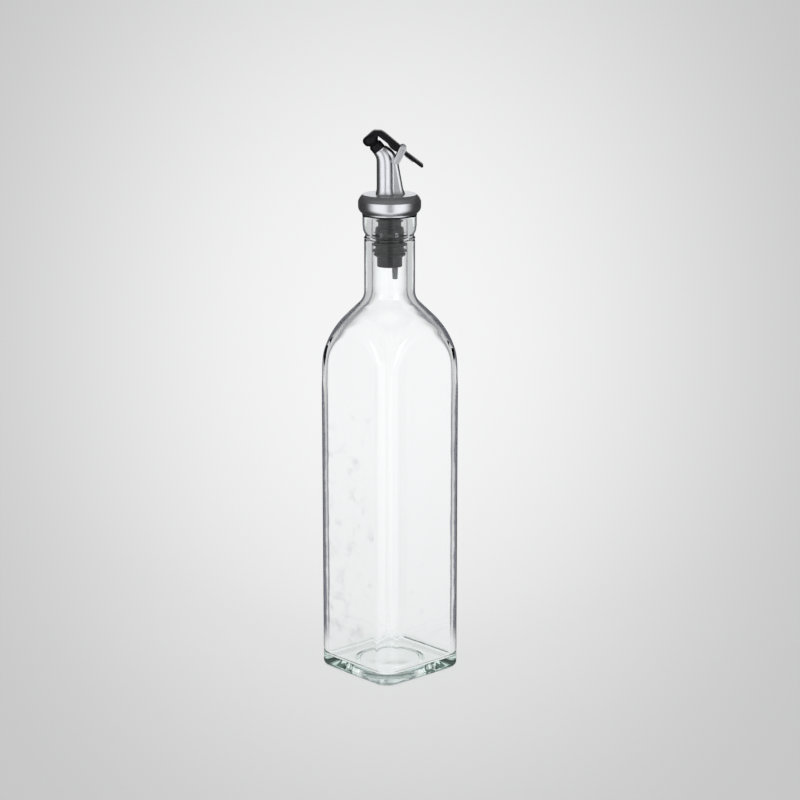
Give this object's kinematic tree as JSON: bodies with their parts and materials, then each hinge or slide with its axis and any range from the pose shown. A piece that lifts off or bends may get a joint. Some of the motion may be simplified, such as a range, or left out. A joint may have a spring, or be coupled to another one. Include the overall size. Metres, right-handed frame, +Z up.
{
  "type": "oil bottle with lever pourer",
  "caption": "Square clear glass oil bottle with a rubber-finned stopper, a satin metal spout and a sprung thumb lever that lifts a seal off the nozzle.",
  "frame": {"origin": "centre of the base, on the surface that the bottle stands on", "axes": "+Z up the bottle; X and Y square to the flat faces of the body; the spout points to -X turned 48 degrees about Z"},
  "size_m": [0.06, 0.06, 0.3091],
  "materials": {
    "glass": "clear, with a faint green tint where it is thick",
    "satin_metal": "satin",
    "black_plastic": "semi-gloss",
    "black_rubber": "smooth, slightly glossy",
    "grey_plastic": "translucent grey",
    "spring_wire": "bright drawn wire"
  },
  "bodies": {
    "bottle": {"bottle": "glass"},
    "plug": {"stopper": "black_rubber"},
    "pourer": {"stem": "black_plastic", "vent_tube": "grey_plastic", "gasket": "black_rubber", "collar": "satin_metal", "spout_shell": "satin_metal", "nozzle": "black_plastic", "pivot_pin": "spring_wire", "return_spring": "spring_wire"},
    "thumb_lever": {"lever": "black_plastic", "seal_plug": "black_rubber"}
  },
  "joints": [
    {"name": "pourer_lift", "type": "slide", "parent": "bottle", "child": "plug", "axis": [0, 0, 1], "range_m": [0, 0.06]},
    {"name": "pourer_turn", "type": "hinge", "parent": "plug", "child": "pourer", "pos_m": [0, 0, 0.26198], "axis": [0, 0, 1], "continuous": true},
    {"name": "lever_press", "type": "hinge", "parent": "pourer", "child": "thumb_lever", "pos_m": [0.00488, 0.00543, 0.29898], "axis": [-0.7431, 0.6691, 0], "range_deg": [0, 40], "stiffness_Nm_per_rad": 0.04, "springref_deg": -28.65, "deforming": ["return_spring"]}
  ]
}
